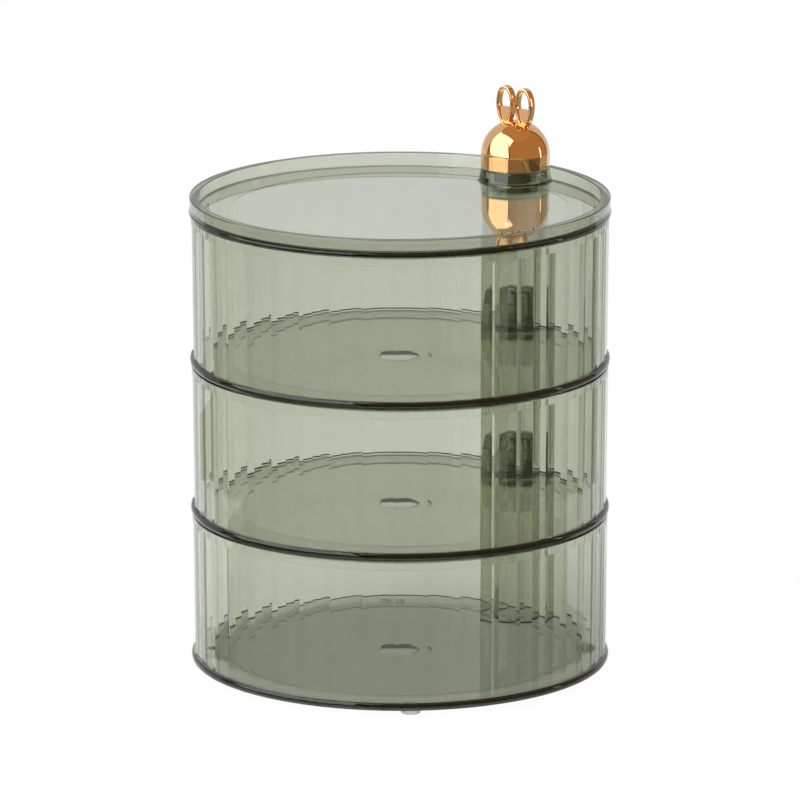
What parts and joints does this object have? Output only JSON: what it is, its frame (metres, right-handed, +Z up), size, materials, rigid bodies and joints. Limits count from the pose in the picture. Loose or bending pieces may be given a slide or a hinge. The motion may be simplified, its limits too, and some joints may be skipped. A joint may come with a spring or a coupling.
{
  "type": "swivel tray organizer",
  "caption": "Round stack of clear faceted trays that swing out about one off-centre column, under a rimmed lid with a plated knob and looped ears.",
  "frame": {"origin": "on the table under the centre of the stacked trays", "axes": "+Z up; the swivel column stands at +Y, and the knob's ears face -Y"},
  "size_m": [0.1204, 0.1204, 0.1611],
  "materials": {
    "tinted_clear": "gloss, transparent, pale green grey tint",
    "copper_plate": "mirror plated, rose gold",
    "clear_rubber": "clear soft silicone"
  },
  "bodies": {
    "bottom_tray": {"bottom_tray": "tinted_clear", "lower_swivel_pin": "tinted_clear", "front_left_foot": "clear_rubber", "front_right_foot": "clear_rubber", "rear_left_foot": "clear_rubber", "rear_right_foot": "clear_rubber"},
    "middle_tray": {"middle_tray": "tinted_clear", "middle_swivel_pin": "tinted_clear"},
    "top_tray": {"top_tray": "tinted_clear", "upper_swivel_pin": "tinted_clear"},
    "lid": {"lid": "tinted_clear", "knob_dome": "copper_plate", "left_ear": "copper_plate", "right_ear": "copper_plate"}
  },
  "joints": [
    {"name": "middle_tray_swivel", "type": "hinge", "parent": "bottom_tray", "child": "middle_tray", "pos_m": [0, 0.05, 0], "axis": [0, 0, 1], "continuous": true},
    {"name": "top_tray_swivel", "type": "hinge", "parent": "middle_tray", "child": "top_tray", "pos_m": [0, 0.05, 0], "axis": [0, 0, 1], "continuous": true},
    {"name": "lid_swivel", "type": "hinge", "parent": "top_tray", "child": "lid", "pos_m": [0, 0.05, 0], "axis": [0, 0, 1], "continuous": true}
  ]
}
